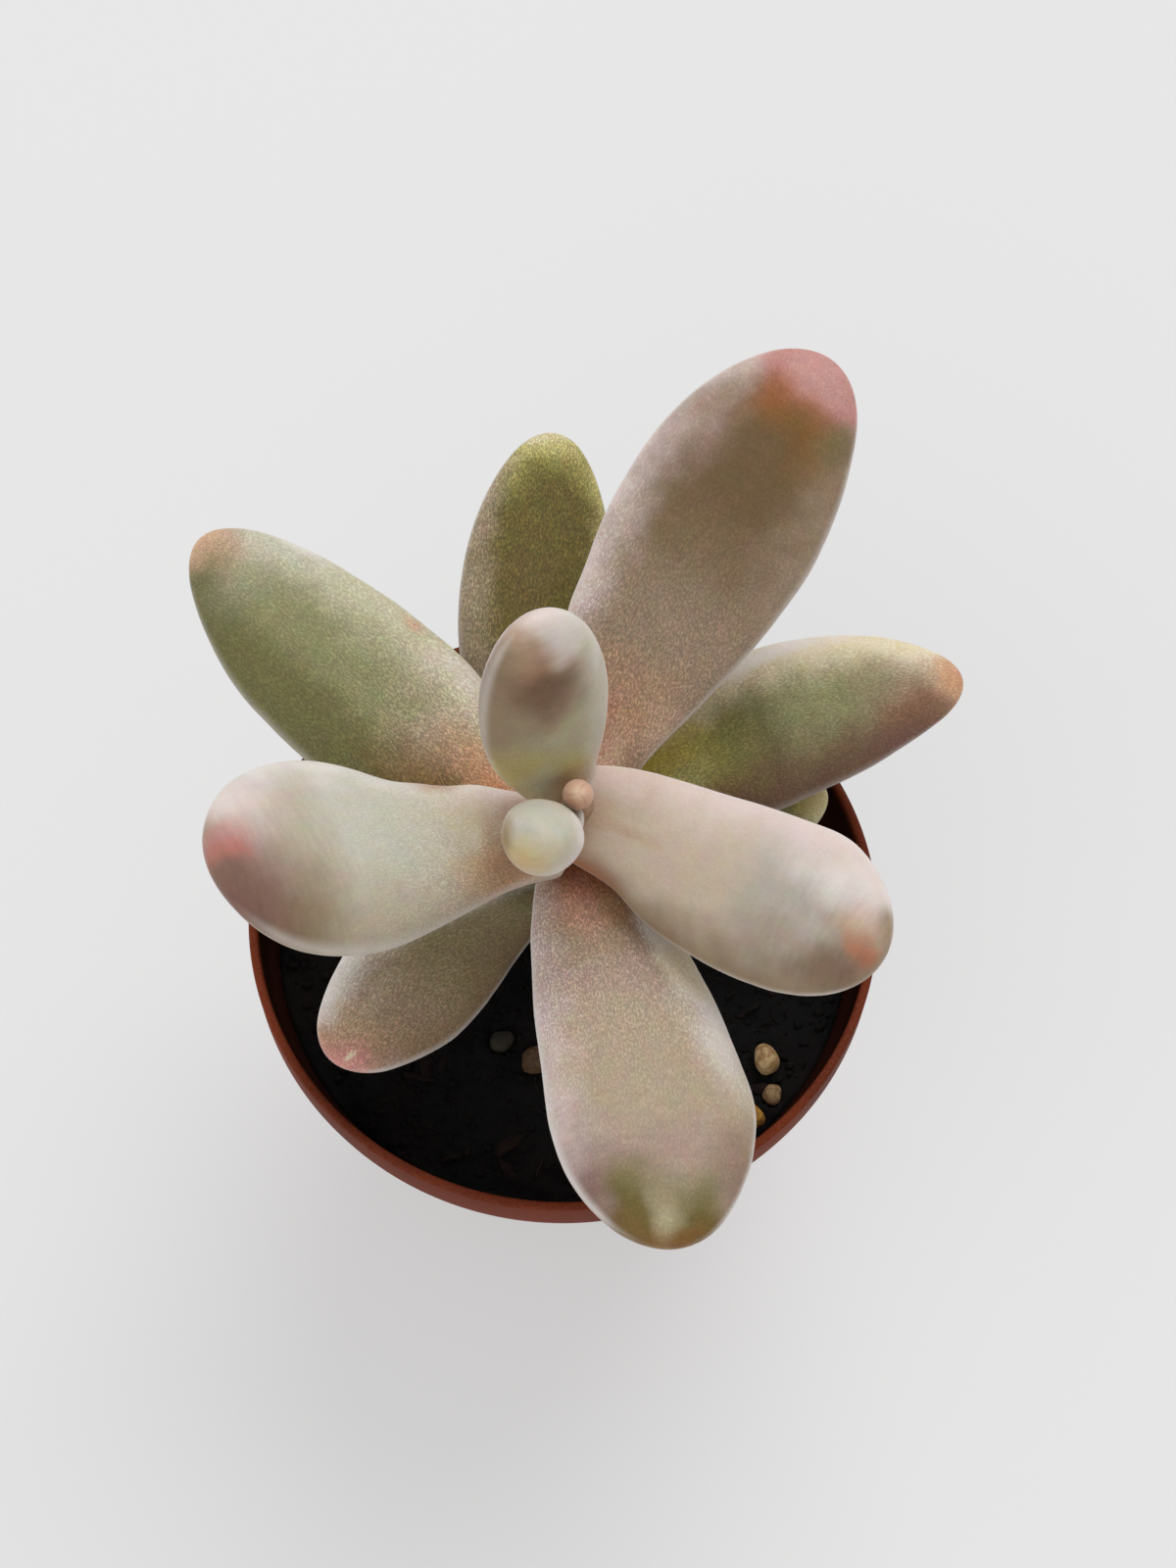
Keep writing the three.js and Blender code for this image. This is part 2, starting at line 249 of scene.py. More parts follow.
# Camera, light and floor
cameraPlace = Vector((0, -0.12764, 0.35780))
lookAcross = Vector((0.999948, -0.004466, 0.009138))
lookUp = Vector((0, 0.898450, 0.439075))
lensLength = 55.01

camera = linked("camera", bpy.data.cameras.new("camera"))
camera.data.lens = lensLength
camera.data.sensor_width = 36
camera.data.clip_start = 0.01
cameraTurn = Matrix((lookAcross, lookUp, lookAcross.cross(lookUp))).transposed()
camera.matrix_world = Matrix.Translation(cameraPlace) @ cameraTurn.to_4x4()
scene.camera = camera
scene.view_settings.view_transform = "Standard"

studio = {
    "sky": tone(243, 243, 243), "skyStrength": 0.5, "floor": tone(168, 168, 168), "floorGlow": 0.42,
    "lights": {"window light": (1.5, 45, (0.35, 0.9, 1.1)), "soft fill": (0.75, 70, (-0.6, -0.75, 0.7))},
}

world = bpy.data.worlds.new("studio")
world.use_nodes = True
world.node_tree.nodes["Background"].inputs[0].default_value = studio["sky"]
world.node_tree.nodes["Background"].inputs[1].default_value = studio["skyStrength"]
scene.world = world
for name, (strength, angle, source) in studio["lights"].items():
    light = linked(name, bpy.data.lights.new(name, "SUN"))
    light.data.energy = strength
    light.data.angle = math.radians(angle)
    light.rotation_mode = "QUATERNION"
    light.rotation_quaternion = Vector(source).to_track_quat("Z", "Y")

floor = meshPiece("floor", [(-4, -4, 0), (4, -4, 0), (4, 4, 0), (-4, 4, 0)], [(0, 1, 2, 3)], False)
floorFinish = Finish("plain pale floor")
glow = {"Emission Color": (1, 1, 1, 1), "Emission Strength": studio["floorGlow"]}
floor.data.materials.append(floorFinish.close(studio["floor"], 0.9, **glow))
print("stage set")


# Pot
pot = {
    "height": 60, "rim": 42.5, "base": 26.5, "wall": 1.2, "collar": 8, "step": 1.4,
    "foot": 21, "pad": 7, "raise": 1.0, "holes": 6, "holeRadius": 3.4, "holeCircle": 14, "sides": 216,
}


def outerWall(height):
    return pot["base"] + (pot["rim"] - pot["step"] - pot["base"]) * height / (pot["height"] - pot["collar"])


def innerWall(height):
    return outerWall(height) - pot["wall"]


def roundCorners(profile, radii, steps=4):  # replaces each corner of a profile by a small arc
    made = []
    for i, (corner, radius) in enumerate(zip(profile, radii)):
        if i in (0, len(profile) - 1) or radius == 0:
            made.append(corner)
            continue
        before, here, after = (Vector((*profile[k], 0)) for k in (i - 1, i, i + 1))
        reach = min(radius, (before - here).length * 0.45, (after - here).length * 0.45)
        start = here + (before - here).normalized() * reach
        end = here + (after - here).normalized() * reach
        for k in range(steps + 1):
            t = k / steps
            point = start * (1 - t) ** 2 + here * 2 * t * (1 - t) + end * t * t
            made.append((point.x, point.y))
    return made


def turnedPiece(name, profile, sides):
    points = []
    for radius, height in profile:
        for k in range(sides):
            x, y = polar(radius, 2 * math.pi * k / sides)
            points.append((x * mm, y * mm, height * mm))
    piece = meshPiece(name, points, tubeFaces(len(profile), sides))
    weld(piece)
    return piece


def cutAway(piece, tools):
    for tool in tools:
        cut = piece.modifiers.new("cut", "BOOLEAN")
        cut.operation = "DIFFERENCE"
        cut.solver = "EXACT"
        cut.object = tool
    bakeShape(piece)
    for tool in tools:
        bpy.data.objects.remove(tool)


def bakeShape(piece):  # applies a piece's modifiers
    shape = bpy.data.meshes.new_from_object(piece.evaluated_get(bpy.context.evaluated_depsgraph_get()))
    piece.modifiers.clear()
    piece.data = shape


def makePot():
    ledge = pot["height"] - pot["collar"]
    floorTop = pot["raise"] + pot["wall"]
    under = pot["rim"] - pot["step"]
    inside = pot["rim"] - pot["wall"]
    corners = [
        ((0.001, 0.35), 0), ((1.1, 0.35), 0.2), ((1.5, 0), 0.3), ((pot["pad"], 0), 0.5),
        ((pot["pad"] + pot["raise"], pot["raise"]), 0.5), ((pot["foot"] - pot["raise"], pot["raise"]), 0.5),
        ((pot["foot"], 0), 0.5), ((pot["base"] - 0.8, 0), 0.6), ((outerWall(0.8), 0.8), 0.6),
        ((outerWall(17), 17), 0), ((outerWall(34), 34), 0),
        ((under - 0.3, ledge - 0.7), 0.5), ((under, ledge), 0.3), ((pot["rim"] - 0.4, ledge + 0.4), 0.5),
        ((pot["rim"], ledge + 2.6), 0), ((pot["rim"], pot["height"] - 2.5), 0),
        ((pot["rim"], pot["height"]), 0.75), ((inside, pot["height"]), 0.6),
        ((inside - 0.3, ledge + 4), 0), ((inside - 0.5, ledge + 0.8), 0.6),
        ((innerWall(ledge - 0.8), ledge - 0.8), 0.6), ((innerWall(floorTop + 1), floorTop + 1), 0.8),
        ((innerWall(floorTop) - 1, floorTop), 0.8), ((0.001, floorTop), 0),
    ]
    profile = roundCorners([c[0] for c in corners], [c[1] for c in corners])
    piece = turnedPiece("nursery_pot", profile, pot["sides"])
    drills = []
    for i in range(pot["holes"]):
        x, y = polar(pot["holeCircle"], 2 * math.pi * i / pot["holes"])
        drill = turnedPiece("drill", [(0, -2), (pot["holeRadius"], -2), (pot["holeRadius"], 6), (0, 6)], 40)
        drill.data.transform(Matrix.Translation((x * mm, y * mm, 0)))
        drills.append(drill)
    cutAway(piece, drills)
    piece.data.set_sharp_from_angle(angle=math.radians(38))
    return piece


def terracottaPlastic():
    # damp paints the dark streaks, and also the painted shade on the inner wall below the lip
    look = {
        "lit": tone(119, 50, 27), "deep": tone(97, 40, 22), "dust": tone(146, 90, 64),
        "damp": tone(30, 13, 9), "roughness": 0.5,
    }
    ledge, lip, rim = (pot["height"] - pot["collar"]) * mm, pot["height"] * mm, pot["rim"] * mm
    finish = Finish("terracotta plastic")
    place = finish.where()
    x, y, height = finish.split(place)
    patches = finish.cloud(place, 38, 4, 0.6)
    grain = finish.cloud(place, 2600, 2, 0.5)
    colour = finish.blend(patches.rise(0.35, 0.65), look["deep"], look["lit"])
    colour = finish.blend(grain.rise(0.3, 0.8) * 0.08, colour, look["dust"])
    streaks = finish.cloud(finish.stretch(place, (1, 1, 0.12)), 420, 3, 0.6)
    colour = finish.blend(streaks.rise(0.55, 0.8) * 0.08, colour, look["damp"])
    reach = (x * x + y * y) ** 0.5
    collar = height.rise(ledge - 0.4 * mm, ledge + 0.1 * mm)
    slope = (outerWall(1) - outerWall(0)) * height + outerWall(0) * mm
    insideShade = (slope - reach).rise(0.3 * mm, 0.9 * mm) * (1 - collar)
    insideShade = insideShade + (rim - 0.4 * mm - reach).rise(0.1 * mm, 0.6 * mm) * collar
    # painted shade: the inner wall below the lip is painted near-black with the damp paint
    colour = finish.blend(insideShade * height.fall(lip - 1.8 * mm, lip + 0.1 * mm) * 0.92, colour, look["damp"])
    edge = height.rise(lip - 1.2 * mm, lip - 0.1 * mm)
    colour = finish.blend(edge * grain.rise(0.4, 0.7) * 0.16, colour, look["dust"])
    roughness = look["roughness"] + patches * 0.14 + grain * 0.06
    scratches = finish.cloud(finish.stretch(place, (1, 1, 9)), 300, 2, 0.7)
    normal = finish.bump(grain, 0.00003)
    normal = finish.bump(scratches, 0.00005, 0.6, normal)
    return finish.close(colour, roughness, normal, **{"Specular IOR Level": 0.08})


dress(makePot(), terracottaPlastic(), "pot", "pot")
print("pot done")


# Soil
soil = {
    "level": 50.5, "lowest": 48, "shoulder": 44, "heel": 4, "bottom": 2.5, "clear": 5,
    "crumbs": 1500, "chips": 46, "fibres": 150, "seed": 91,
    "looks": {  # dark, brown and pale paint, and how deep the bumps are
        "damp peat": ((5, 4, 4), (18, 9, 7), (36, 25, 18), 0.00025),
        "peat crumb": ((5, 4, 3), (22, 12, 9), (46, 32, 23), 0.0002),
        "bark": ((18, 8, 6), (40, 17, 12), (70, 38, 26), 0.0002),
        "peat fibre": ((22, 15, 11), (44, 30, 21), (92, 68, 46), 0.00005),
    },
}


def makeSoil(heights):
    edge = innerWall(soil["level"]) - 0.02
    rings, spokes = 84, 264
    points, faces = [(0, 0, heights(0, 0))], []
    for i in range(1, rings + 1):
        reach = edge * i / rings
        for k in range(spokes):
            x, y = polar(reach, 2 * math.pi * (k + 0.5 * (i % 2)) / spokes)
            points.append((x, y, heights(x, y)))
    for k in range(spokes):
        faces.append((0, 1 + k, 1 + (k + 1) % spokes))
    for i in range(rings - 1):
        for k in range(spokes):
            a, b = 1 + i * spokes + k, 1 + i * spokes + (k + 1) % spokes
            c, d = a + spokes, b + spokes
            if i % 2 == 0:
                faces += [(a, c, d), (a, d, b)]
            else:
                faces += [(a, c, b), (b, c, d)]
    last = 1 + (rings - 1) * spokes
    heel = innerWall(soil["heel"]) - 0.3
    shoulder = innerWall(soil["shoulder"]) - 0.1
    for radius, height in ((shoulder, soil["shoulder"]), (heel, soil["heel"]), (heel - 1.6, soil["bottom"])):
        start = len(points)
        for k in range(spokes):
            angle = 2 * math.pi * (k + 0.5 * (rings % 2)) / spokes
            wobble = 1 + 0.004 * noise.noise((*polar(5, angle), height))
            points.append((*polar(radius * wobble, angle), height))
        for k in range(spokes):
            faces.append((last + k, start + k, start + (k + 1) % spokes, last + (k + 1) % spokes))
        last = start
    points.append((0, 0, soil["bottom"]))
    for k in range(spokes):
        faces.append((last + k, len(points) - 1, last + (k + 1) % spokes))
    return meshPiece("peat_soil", [(x * mm, y * mm, z * mm) for x, y, z in points], faces)


def topOf(solid):  # height of the soil's top: the clods of its solid, with crumb added
    corners = [vert.co for vert in solid.data.vertices]
    tree = BVHTree.FromPolygons(corners, [face.vertices[:] for face in solid.data.polygons])

    def height(x, y):
        hit = tree.ray_cast(Vector((x * mm, y * mm, 0.1)), Vector((0, 0, -1)))[0]
        found = hit is not None and hit.z > soil["lowest"] * mm
        base = hit.z / mm if found else soil["level"] - 0.6
        spot = Vector((x, y, 0))
        crumb = noise.fractal(spot * 0.55, 0.9, 2.1, 4) * 0.42
        lumps = 1 - min(1.0, noise.voronoi(spot * 0.62)[0][0] * 1.5)
        return base - 0.25 + crumb + lumps * 0.5
    return height


def lump(draw, size, points, faces, place, squash=0.75, ragged=0.28):  # adds one small crumb
    ball = bmesh.new()
    bmesh.ops.create_icosphere(ball, subdivisions=1, radius=1)
    offset = Vector((draw.random() * 40, draw.random() * 40, draw.random() * 40))
    turn = Matrix.Rotation(draw.random() * 6.28, 3, "Z") @ Matrix.Rotation(draw.random() * 1.2, 3, "X")
    start = len(points)
    for vert in ball.verts:
        out = vert.co * (1 + ragged * noise.noise(vert.co * 1.4 + offset) * 2)
        out = turn @ Vector((out.x * size[0], out.y * size[1], out.z * size[2] * squash))
        points.append(place + out)
    faces += [tuple(start + v.index for v in f.verts) for f in ball.faces]
    ball.free()


def scatter(draw, count, reach):  # even random places on the soil, clear of the stem
    places = []
    while len(places) < count:
        radius, angle = math.sqrt(draw.random()) * reach, draw.random() * 2 * math.pi
        if radius > soil["clear"]:
            places.append(polar(radius, angle))
    return places


def makeCrumbs(heights):
    draw = random.Random(soil["seed"])
    points, faces = [], []
    for x, y in scatter(draw, soil["crumbs"], innerWall(soil["level"]) - 1.2):
        big = 0.28 + 0.62 * draw.random() ** 2.4
        size = (big, big * (0.6 + 0.5 * draw.random()), big * (0.55 + 0.4 * draw.random()))
        lump(draw, size, points, faces, Vector((x, y, heights(x, y) + big * 0.22)))
    return meshPiece("peat_crumbs", [p * mm for p in points], faces)


def makeChips(heights):
    draw = random.Random(soil["seed"] + 1)
    points, faces = [], []
    for x, y in scatter(draw, soil["chips"], innerWall(soil["level"]) - 3.5):
        long = 1.1 + 1.6 * draw.random()
        lump(draw, (long, long * 0.45, 0.42), points, faces, Vector((x, y, heights(x, y) + 0.25)), 1, 0.2)
    return meshPiece("bark_chips", [p * mm for p in points], faces, False)


def thread(points, faces, path, radius, sides=5):  # a thin closed tube along a path
    start, count = len(points), len(path)
    for i, spot in enumerate(path):
        along = (path[min(i + 1, count - 1)] - path[max(i - 1, 0)]).normalized()
        side = along.cross(Vector((0, 0, 1)))
        side = side.normalized() if side.length > 1e-6 else Vector((1, 0, 0))
        above = side.cross(along)
        thin = radius * (0.35 if i in (0, count - 1) else 1)
        for k in range(sides):
            angle = 2 * math.pi * k / sides
            points.append(spot + (side * math.cos(angle) + above * math.sin(angle)) * thin)
    faces += tubeFaces(count, sides, start)
    faces.append(tuple(start + k for k in reversed(range(sides))))
    faces.append(tuple(start + (count - 1) * sides + k for k in range(sides)))


def makeFibres(heights):
    draw = random.Random(soil["seed"] + 2)
    points, faces = [], []
    for x, y in scatter(draw, soil["fibres"], innerWall(soil["level"]) - 4):
        angle, bend = draw.random() * 2 * math.pi, draw.uniform(-0.35, 0.35)
        path = []
        for i in range(8):
            lift = 0.12 + 0.35 * math.sin(i / 7 * math.pi) * draw.random()
            path.append(Vector((x, y, heights(x, y) + lift)))
            angle += bend
            x += 0.5 * math.cos(angle)
            y += 0.5 * math.sin(angle)
        thread(points, faces, path, 0.05 + 0.07 * draw.random())
    return meshPiece("peat_fibres", [p * mm for p in points], faces)


def peatFinish(name):
    *paints, bumpDepth = soil["looks"][name]
    dark, brown, pale = (tone(*paint) for paint in paints)
    finish = Finish(name)
    place = finish.where()
    damp = finish.cloud(place, 60, 4, 0.6)
    crumb = finish.cloud(place, 900, 4, 0.7)
    fine = finish.cloud(place, 4200, 2, 0.6)
    colour = finish.blend(damp.rise(0.4, 0.7), dark, brown)
    colour = finish.blend(crumb.rise(0.5, 0.85) * 0.5, colour, pale)
    colour = finish.blend(fine.fall(0.3, 0.6) * 0.6, colour, dark)
    normal = finish.bump(crumb, bumpDepth)
    normal = finish.bump(fine, bumpDepth * 0.4, 1, normal)
    return finish.close(colour, 0.82 + damp * 0.15, normal, **{"Specular IOR Level": 0.25})


soilTop = topOf(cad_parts["soil"])
dress(makeSoil(soilTop), peatFinish("damp peat"), "soil", "soil")
dress(makeCrumbs(soilTop), peatFinish("peat crumb"), "soil")
dress(makeChips(soilTop), peatFinish("bark"), "soil")
dress(makeFibres(soilTop), peatFinish("peat fibre"), "soil")
print("soil done")


# Grit stones
gritBook = {
    "grit_stone_1": {"main": (206, 176, 128), "stain": (150, 108, 62), "vein": (226, 204, 166)},
    "grit_stone_2": {"main": (170, 140, 100), "stain": (110, 78, 46), "vein": (206, 182, 142)},
    "grit_stone_3": {"main": (196, 142, 48), "stain": (140, 92, 26), "vein": (220, 180, 96)},
    "grit_stone_4": {"main": (104, 76, 46), "stain": (66, 42, 24), "vein": (140, 112, 78)},
    "grit_stone_5": {"main": (48, 42, 26), "stain": (30, 24, 15), "vein": (78, 70, 48)},
    "grit_stone_6": {"main": (176, 158, 132), "stain": (122, 98, 72), "vein": (214, 200, 176)},
    "grit_stone_7": {"main": (186, 150, 96), "stain": (130, 92, 48), "vein": (216, 190, 146)},
    "grit_stone_8": {"main": (160, 144, 126), "stain": (108, 92, 78), "vein": (204, 194, 178)},
}


def smoothCopy(name, node, levels):  # a rounded copy of a CAD node's own shape
    shape = bmesh.new()
    shape.from_mesh(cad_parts[node].data)
    bmesh.ops.remove_doubles(shape, verts=shape.verts, dist=1e-6)
    mesh = bpy.data.meshes.new(name)
    shape.to_mesh(mesh)
    shape.free()
    piece = linked(name, mesh)
    rounder = piece.modifiers.new("rounder", "SUBSURF")
    rounder.levels = rounder.render_levels = levels
    bakeShape(piece)
    piece.data.shade_smooth()
    return piece


def stoneFinish(name, paints):
    look = {part: tone(*paint) for part, paint in paints.items()}
    finish = Finish(name)
    place = finish.where()
    bands = finish.cloud(finish.stretch(place, (1, 1.6, 3)), 420, 4, 0.6, 1.2)
    specks = finish.cells(place, 3600)
    fine = finish.cloud(place, 5200, 3, 0.65)
    colour = finish.blend(bands.rise(0.38, 0.62), look["main"], look["stain"])
    colour = finish.blend(bands.rise(0.6, 0.72) * 0.6, colour, look["vein"])
    colour = finish.blend(specks.fall(0.05, 0.28) * 0.45, colour, look["stain"])
    colour = finish.blend(fine.rise(0.5, 0.8) * 0.3, colour, look["vein"])
    normal = finish.bump(fine, 0.00006)
    normal = finish.bump(bands, 0.00015, 0.7, normal)
    return finish.close(colour, 0.62 + fine * 0.25, normal)


roughPitch, roughDepth, fullness = 900, 0.035, 1.03  # fullness makes up for what the rounding takes off
for node, look in gritBook.items():
    stone = smoothCopy(node.replace("grit_stone", "pebble"), node, 2)
    middle = sum(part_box(node), Vector()) / 2
    for vert in stone.data.vertices:
        out = vert.co - middle
        rough = noise.fractal(vert.co * roughPitch, 0.8, 2.0, 3)
        vert.co = middle + out * (fullness + roughDepth * rough)
    dress(stone, stoneFinish(node.replace("_", " "), look), "grit", node)
print("stones done")


# Stem and growing tip
stem = {
    "bottom": 28, "top": 91.5, "radius": 3.4, "tip": 1.9, "taper": 70, "lean": (0.033, 0.012), "start": 0.4,
    "swelling": 0.22, "rhythm": 1.9, "dome": 2.6, "padsBelow": 86, "pad": (3.2, 0.45),
    "scars": 5, "scar": (2.3, 0.18), "scarFrom": (170, 55.2), "scarStep": (137.5, 0.9),
}


def stemMiddle(height):
    above = height - soil["level"]
    return Vector((stem["start"] + stem["lean"][0] * above, stem["lean"][1] * above, height))


def stemGirth(height):
    share = max(0.0, (height - stem["taper"]) / (stem["top"] - stem["taper"]))
    return stem["radius"] + (stem["tip"] - stem["radius"]) * share


def stemSurface(height):
    return stemGirth(height) + stem["swelling"] * math.sin(height * stem["rhythm"])


def makeStem(pads):  # pads: azimuth, height, width and lift of each leaf's foot or scar
    rings, sides = 260, 72
    points, marks = [], []
    for i in range(rings + 1):
        height = stem["bottom"] + (stem["top"] - stem["bottom"]) * i / rings
        end = min(1.0, (stem["top"] - height) / stem["dome"])
        middle = stemMiddle(height)
        for k in range(sides):
            angle = 2 * math.pi * k / sides
            spot = Vector((*polar(3, angle), height))
            reach = stemSurface(height)
            reach += 0.07 * noise.noise(Vector((spot.x * 1.6, spot.y * 1.6, height * 0.45)))
            reach += 0.05 * noise.noise(spot * 3.1)
            scar = 0.0
            for azimuth, high, wide, lift in pads:
                turn = (angle - math.radians(azimuth) + math.pi) % (2 * math.pi) - math.pi
                near = math.hypot(turn * stemGirth(height) / wide, (height - high) / (wide * 0.62))
                reach += lift * math.exp(-near * near * 1.6)
                if (wide, lift) == stem["scar"]:
                    reach -= 0.14 * math.exp(-near * near * 9)
                    scar = max(scar, 1 - min(1.0, near))
            reach *= math.sqrt(max(0.0, 1 - (1 - end) ** 2)) if end < 1 else 1
            points.append((middle + Vector((*polar(reach, angle), 0))) * mm)
            marks.append((height, scar, 0))
    faces = tubeFaces(rings + 1, sides)
    faces.append(tuple(reversed(range(sides))))
    faces.append(tuple(rings * sides + k for k in range(sides)))
    piece = meshPiece("stem_stalk", points, faces)
    storeVectors(piece, "stemMarks", marks)
    return piece


def stemFinish():
    look = {
        "bark": tone(120, 104, 78), "green": tone(146, 146, 104), "blush": tone(186, 140, 118),
        "scar": tone(96, 76, 56), "cork": tone(170, 152, 122),
    }
    finish = Finish("young stem")
    place = finish.where()
    height, scar = finish.split(finish.stored("stemMarks"))[:2]
    flow = finish.cloud(finish.stretch(place, (1, 1, 0.3)), 700, 4, 0.6)
    fine = finish.cloud(place, 4200, 3, 0.6)
    colour = finish.blend(height.rise(54, 72), look["bark"], look["green"])
    colour = finish.blend(height.rise(76, 90) * 0.7, colour, look["blush"])
    colour = finish.blend(flow.rise(0.5, 0.7) * 0.45, colour, look["cork"])
    colour = finish.blend(scar.rise(0.15, 0.6) * 0.75, colour, look["scar"])
    colour = finish.blend(fine.rise(0.55, 0.8) * 0.25, colour, look["cork"])
    normal = finish.bump(flow, 0.00018)
    normal = finish.bump(fine, 0.00006, 0.8, normal)
    glow = {"Subsurface Weight": 0.08, "Subsurface Scale": 0.001}
    return finish.close(colour, 0.6 + fine * 0.2, normal, **glow)


bud = {
    "radius": 1.9, "length": 5.4, "tilt": 24, "forward": 0.9, "gap": 0.3,
    "grooves": (40, 165, 290), "cut": 0.025,
}


def makeBud():
    rings, sides = 72, 84
    points, marks = [], []
    turn = Matrix.Rotation(math.radians(bud["tilt"]), 3, "X")
    seat = stemMiddle(stem["top"]) + Vector((0, -bud["forward"], bud["length"] / 2 + bud["gap"]))
    for i in range(rings + 1):
        rise = math.pi * i / rings
        for k in range(sides):
            angle = 2 * math.pi * k / sides
            out = Vector((*polar(math.sin(rise), angle), -math.cos(rise)))
            groove = 0.0
            for line in bud["grooves"]:
                bent = math.radians(line) + 0.5 * out.z
                away = abs((angle - bent + math.pi) % (2 * math.pi) - math.pi) * math.sin(rise)
                groove = max(groove, math.exp(-(away / 0.1) ** 2))
            groove *= max(0.0, min(1.0, out.z * 1.6 + 0.5)) * (1 - max(0.0, out.z - 0.93) * 8)
            size = 1 - bud["cut"] * groove + 0.02 * noise.noise(out * 2.2)
            spot = Vector((out.x * bud["radius"], out.y * bud["radius"], out.z * bud["length"] / 2)) * size
            points.append((turn @ spot + seat) * mm)
            marks.append((out.z, groove, 0))
    piece = meshPiece("growing_bud", points, tubeFaces(rings + 1, sides))
    storeVectors(piece, "budMarks", marks)
    weld(piece)
    return piece


fleshy = {  # what all the powdery skins share
    "Subsurface Weight": 0.18, "Subsurface Scale": 0.0025, "Subsurface Radius": (1.0, 0.6, 0.35),
    "Sheen Weight": 0.6, "Sheen Roughness": 0.28, "Sheen Tint": tone(244, 240, 240),
    "Specular IOR Level": 0.35,
}


def budFinish():
    look = {
        "skin": tone(226, 184, 158), "tip": tone(236, 206, 176),
        "groove": tone(186, 134, 108), "foot": tone(176, 128, 96),
    }
    finish = Finish("growing tip skin")
    place = finish.where()
    high, groove = finish.split(finish.stored("budMarks"))[:2]
    fine = finish.cloud(place, 4600, 3, 0.6)
    colour = finish.blend(high.fall(-0.6, 0.4), look["skin"], look["foot"])
    colour = finish.blend(high.rise(0.8, 0.98) * 0.8, colour, look["tip"])
    colour = finish.blend(groove * 0.3, colour, look["groove"])
    colour = finish.blend(fine.rise(0.5, 0.8) * 0.3, colour, look["tip"])
    return finish.close(colour, 0.55 + fine * 0.1, finish.bump(fine, 0.00003), **fleshy)


# Leaves, youngest first, placed and sized as in the frame, in millimetres and degrees. Left and right, as
# seen from the stem, are bulges and hollows of the margins: how far along, how long and how much. Foot is
# how far the leaf's foot is drawn in, and over which share of its length. Square is how full the foot stays,
# and nudge sets a leaf off its solid's middle.
plainLeaf = {  # what a leaf has unless the book says otherwise
    "left": (), "right": (), "foot": 2.2, "footShare": 0.14, "square": 3, "nudge": (0, 0, 0),
    "topFlat": 0.85, "belly": 1.15,
}
leafBook = {
    "leaf_01": dict(
        slot="pale_leaf", height=89.5, azimuth=241, rise=57, curl=8, sway=0, roll=0,
        length=15.5, width=9.7, thickness=9.2, peak=0.58, neck=0.4, blunt=2.2, swell=1.2,
    ),
    "leaf_02": dict(
        slot="pale_leaf", height=88, azimuth=114, rise=74, curl=6, sway=-3, roll=7,
        length=30.3, width=17, thickness=10.2, peak=0.45, neck=0.3, blunt=2.1, swell=0.5,
        left=[(9, 9, 0.5)], right=[(8, 8, -0.5)], nudge=(-0.3, 0, 0),
    ),
    "leaf_03": dict(
        slot="pale_leaf", height=85, azimuth=336, rise=15.5, curl=1, sway=-19, roll=23,
        length=41.8, width=20, thickness=11.5, peak=0.66, neck=0.45, blunt=2.1, swell=0.5,
        left=[(2, 5, 1.8), (9, 5, 0.5), (31, 5, 0.6)],
        right=[(3, 5, -1.2), (12, 6, 0.4), (19, 8, 0.8), (25, 5, 0.4)],
        foot=5, square=5, nudge=(-0.3, 0.3, 0),
    ),
    "leaf_04": dict(
        slot="pale_leaf", height=82, azimuth=195, rise=23.5, curl=9.5, sway=11.5, roll=9,
        length=47, width=27.5, thickness=11.7, peak=0.67, neck=0.42, blunt=1.8, swell=1.8,
        left=[(42, 6, 0.9)],
        right=[(6.5, 5, 1.7), (13, 3, -0.3), (19.5, 4, -1.5), (30, 5, 0.6), (40, 6, 0.6)],
        nudge=(-0.3, -0.2, 0),
    ),
    "leaf_05": dict(
        slot="blush_leaf", height=78.5, azimuth=71.5, rise=23, curl=6, sway=-29, roll=-1,
        length=68.7, width=26.5, thickness=12, peak=0.6, neck=0.26, blunt=2.15, swell=1.45,
        left=[(24, 5, 1.1), (54, 10, 0.5)], right=[(10, 8, -0.4), (45, 6, 0.3), (61, 4, -0.2)],
    ),
    "leaf_06": dict(
        slot="blush_leaf", height=75.5, azimuth=287.6, rise=13, curl=8, sway=-15, roll=-11,
        length=56.8, width=24.5, thickness=11.8, peak=0.64, neck=0.39, blunt=1.95, swell=0.7,
        left=[(18, 6, -0.2), (38, 5, 0.4), (51, 5, -0.3)], right=[(7, 8, 0.7), (19, 7, 0.3), (46, 7, 0.3)],
    ),
    "leaf_07": dict(
        slot="green_leaf", height=72, azimuth=142, rise=12.5, curl=8, sway=-1.5, roll=0,
        length=61.6, width=25, thickness=12, peak=0.44, neck=0.3, blunt=1.95, swell=1.4,
        left=[(46, 8, 0.7)],
    ),
    "leaf_08": dict(
        slot="green_leaf", height=69, azimuth=47, rise=9, curl=3, sway=-50, roll=2,
        length=59.6, width=22, thickness=12, peak=0.51, neck=0.3, blunt=1.5, swell=1.5,
        right=[(46, 9, 0.6)],
    ),
    "leaf_09": dict(
        slot="green_leaf", height=66, azimuth=211, rise=5, curl=5, sway=23, roll=-3,
        length=37.4, width=18.2, thickness=11, peak=0.6, neck=0.32, blunt=1.6, swell=1.5,
        left=[(18, 7, -0.3), (35, 3, 0.3)], right=[(24, 3, 0.3)],
    ),
    "leaf_10": dict(
        slot="green_leaf", height=63, azimuth=101, rise=16.5, curl=8, sway=-20, roll=0,
        length=60.4, width=22, thickness=11.5, peak=0.53, neck=0.3, blunt=1.95, swell=1.5,
        left=[(42, 14, 0.55)], right=[(50, 6, -0.4)],
    ),
    "leaf_11": dict(
        slot="green_leaf", height=58.5, azimuth=23, rise=7, curl=4, sway=0, roll=0,
        length=35, width=13, thickness=8, peak=0.6, neck=0.35, blunt=1.8, swell=1.5,
    ),
}


